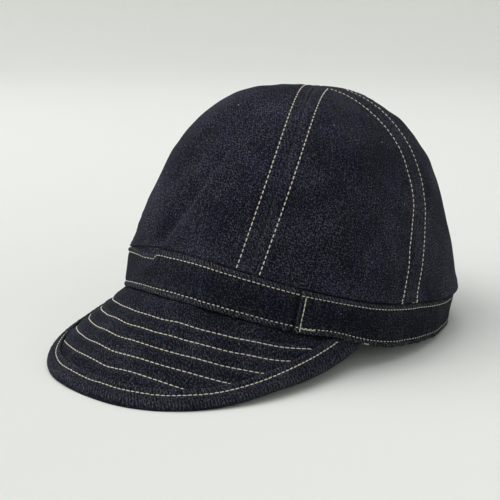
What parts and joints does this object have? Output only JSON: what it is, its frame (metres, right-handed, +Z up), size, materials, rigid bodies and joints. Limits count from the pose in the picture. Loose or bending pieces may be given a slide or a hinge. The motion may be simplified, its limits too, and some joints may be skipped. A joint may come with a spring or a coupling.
{
  "type": "denim cap",
  "caption": "Raw denim work cap: panelled crown sewn into a lapped band, with a row-stitched peak whose outer edge is bound in the same cloth.",
  "frame": {"origin": "middle of the cap's plan, on the surface it stands on", "axes": "+Z up, the peak points along -Y, and the wearer's left is +X"},
  "size_m": [0.1732, 0.2494, 0.1352],
  "materials": {
    "crown_denim": "unwashed indigo twill",
    "band_denim": "unwashed indigo twill",
    "peak_denim": "unwashed indigo twill, stiffened",
    "thread": "undyed cotton sewing thread"
  },
  "bodies": {
    "root": {"crown_front": "crown_denim", "crown_left_front": "crown_denim", "crown_left_back": "crown_denim", "crown_back": "crown_denim", "crown_right_back": "crown_denim", "crown_right_front": "crown_denim", "band": "band_denim", "peak": "peak_denim", "peak_binding": "peak_denim"}
  },
  "joints": []
}
